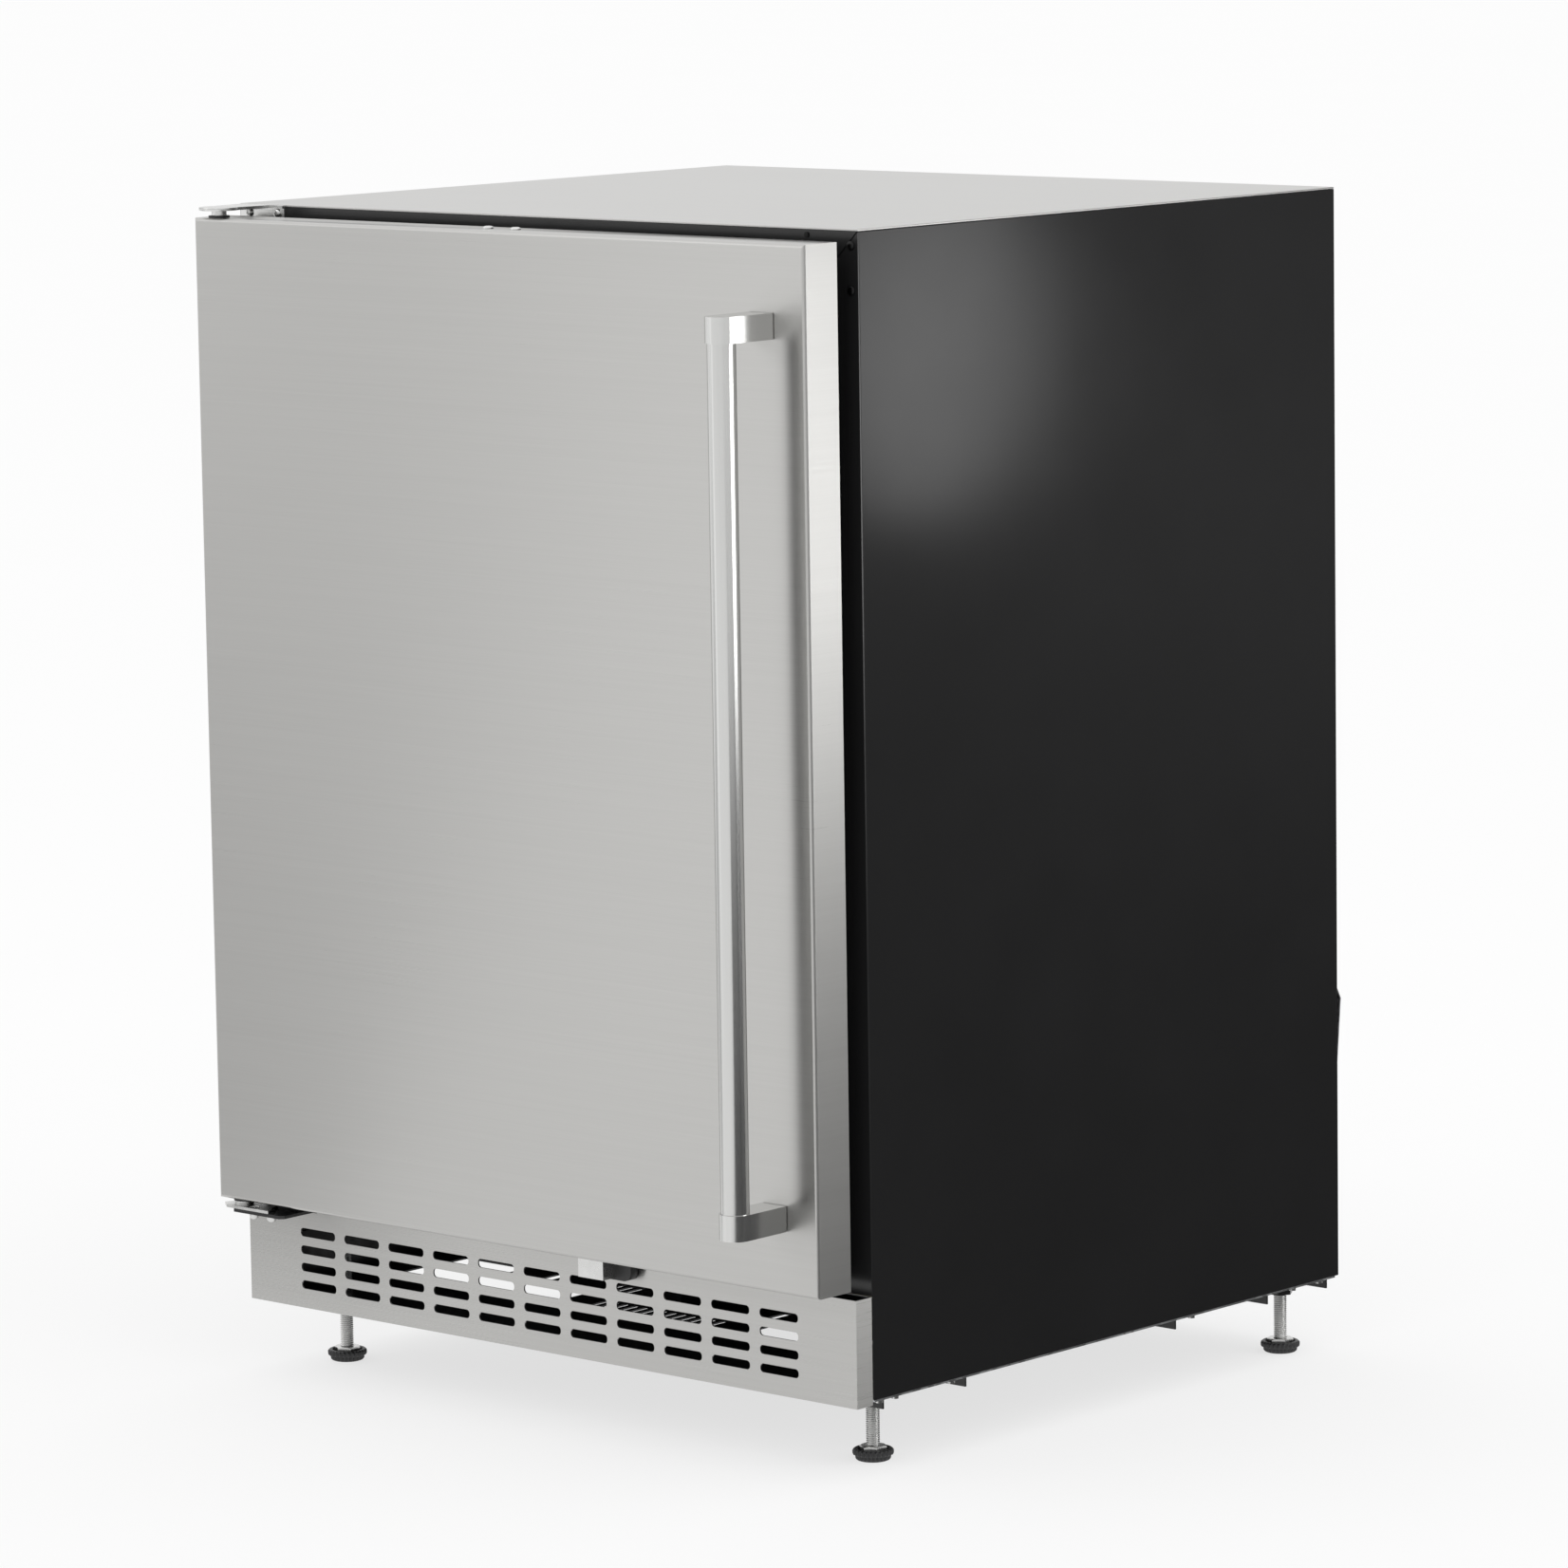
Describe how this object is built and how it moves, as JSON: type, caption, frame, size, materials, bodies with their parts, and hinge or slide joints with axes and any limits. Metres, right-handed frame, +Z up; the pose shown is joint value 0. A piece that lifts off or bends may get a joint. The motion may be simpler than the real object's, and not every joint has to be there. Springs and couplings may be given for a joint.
{
  "type": "undercounter refrigerator",
  "caption": "Solid-door undercounter refrigerator: black cabinet with a brushed steel door, top and slotted kick plate, bar handle and levelling feet.",
  "frame": {"origin": "on the floor under the middle of the bounding box, feet at rest height", "axes": "+X towards the handle side, +Y to the rear, +Z up; the door faces -Y"},
  "size_m": [0.597, 0.6359, 0.8636],
  "materials": {
    "door_steel": "brushed stainless, horizontal grain",
    "cabinet_steel": "brushed stainless, horizontal grain",
    "handle_steel": "satin stainless",
    "black_paint": "black powder coat, satin with a fine grain",
    "galvanised": "galvanised sheet",
    "zinc": "bright zinc plate",
    "black_screw": "black oxide",
    "liner": "white coated aluminium",
    "door_inner": "moulded charcoal plastic",
    "foam": "rigid foam",
    "gasket": "soft black vinyl and rubber",
    "nylon": "white nylon",
    "foot": "zinc stem and nut in a black moulded cup",
    "shelf_wire": "grey epoxy over wire",
    "shelf_support": "stainless",
    "white_plastic": "moulded white plastic",
    "black_plastic": "moulded black plastic",
    "lens": "opal plastic",
    "fins": "bare aluminium fins",
    "black_enamel": "black enamel",
    "copper": "drawn copper"
  },
  "bodies": {
    "cabinet": {"base_pan": "black_paint", "base_rails": "galvanised", "cabinet_screws": "zinc", "closing_cam_plate": "zinc", "compartment_ceiling": "galvanised", "compressor": "black_enamel", "compressor_grommets": "gasket", "condenser": "fins", "condenser_fan_motor": "black_enamel", "cross_channels": "black_paint", "door_switch_body": "nylon", "drain_pipe": "white_plastic", "drip_tray": "black_plastic", "evaporator_coil": "fins", "evaporator_cover": "white_plastic", "evaporator_fan_motor": "black_enamel", "foam_insulation": "foam", "front_frame": "black_paint", "hinge_pins": "zinc", "inner_liner": "liner", "kick_plate": "cabinet_steel", "lamp_base": "white_plastic", "lamp_lens": "lens", "lower_hinge_bracket": "black_paint", "power_cord_inlet": "black_plastic", "rear_cover": "galvanised", "rear_panel": "galvanised", "refrigerant_tubes": "copper", "shelf_clips": "shelf_support", "shelf_standards": "shelf_support", "side_panel_left": "black_paint", "side_panel_right": "black_paint", "spare_hole_screws": "black_screw", "thermostat_housing": "white_plastic", "top_panel": "cabinet_steel", "upper_hinge_bracket": "zinc", "wiring_box": "black_enamel"},
    "door": {"door_skin": "door_steel", "door_foam": "foam", "door_liner": "door_inner", "door_gasket": "gasket", "door_edge_screws": "zinc", "door_stop_bracket": "zinc", "door_stop_bumper": "gasket", "handle_bar": "handle_steel", "handle_lugs": "handle_steel", "handle_pads": "handle_steel", "handle_screws": "zinc", "hinge_bushes": "black_plastic"},
    "shelf_1": {"shelf_1": "shelf_wire"},
    "shelf_2": {"shelf_2": "shelf_wire"},
    "shelf_3": {"shelf_3": "shelf_wire"},
    "thermostat_knob": {"thermostat_knob": "black_plastic"},
    "door_switch_plunger": {"door_switch_plunger": "nylon"},
    "condenser_fan": {"condenser_fan": "black_plastic"},
    "evaporator_fan": {"evaporator_fan": "black_plastic"},
    "foot_front_left": {"foot_front_left": "foot"},
    "foot_front_right": {"foot_front_right": "foot"},
    "foot_rear_left": {"foot_rear_left": "foot"},
    "foot_rear_right": {"foot_rear_right": "foot"}
  },
  "joints": [
    {"name": "door_hinge", "type": "hinge", "parent": "cabinet", "child": "door", "pos_m": [-0.281, -0.25465, 0.5], "axis": [0, 0, -1], "range_deg": [0, 115]},
    {"name": "shelf_1_slide", "type": "slide", "parent": "cabinet", "child": "shelf_1", "axis": [0, -1, 0], "range_m": [0, 0.03]},
    {"name": "shelf_2_slide", "type": "slide", "parent": "cabinet", "child": "shelf_2", "axis": [0, -1, 0], "range_m": [0, 0.03]},
    {"name": "shelf_3_slide", "type": "slide", "parent": "cabinet", "child": "shelf_3", "axis": [0, -1, 0], "range_m": [0, 0.03]},
    {"name": "thermostat_turn", "type": "hinge", "parent": "cabinet", "child": "thermostat_knob", "pos_m": [0.23, -0.03615, 0.762], "axis": [-1, 0, 0], "range_deg": [-135, 135]},
    {"name": "switch_plunger", "type": "slide", "parent": "cabinet", "child": "door_switch_plunger", "axis": [0, -1, 0], "range_m": [0, 0.005]},
    {"name": "condenser_fan_spin", "type": "hinge", "parent": "cabinet", "child": "condenser_fan", "pos_m": [0.108, 0.20685, 0.17], "axis": [0, 1, 0], "continuous": true},
    {"name": "evaporator_fan_spin", "type": "hinge", "parent": "cabinet", "child": "evaporator_fan", "pos_m": [0.13, 0.15085, 0.776], "axis": [0, 1, 0], "continuous": true},
    {"name": "foot_front_left_level", "type": "slide", "parent": "cabinet", "child": "foot_front_left", "axis": [0, 0, -1], "range_m": [-0.02, 0.012]},
    {"name": "foot_front_right_level", "type": "slide", "parent": "cabinet", "child": "foot_front_right", "axis": [0, 0, -1], "range_m": [-0.02, 0.012]},
    {"name": "foot_rear_left_level", "type": "slide", "parent": "cabinet", "child": "foot_rear_left", "axis": [0, 0, -1], "range_m": [-0.02, 0.012]},
    {"name": "foot_rear_right_level", "type": "slide", "parent": "cabinet", "child": "foot_rear_right", "axis": [0, 0, -1], "range_m": [-0.02, 0.012]}
  ],
  "couplings": [
    {"joint": "switch_plunger", "follows": "door_hinge", "m_per_rad": 0.00249}
  ]
}
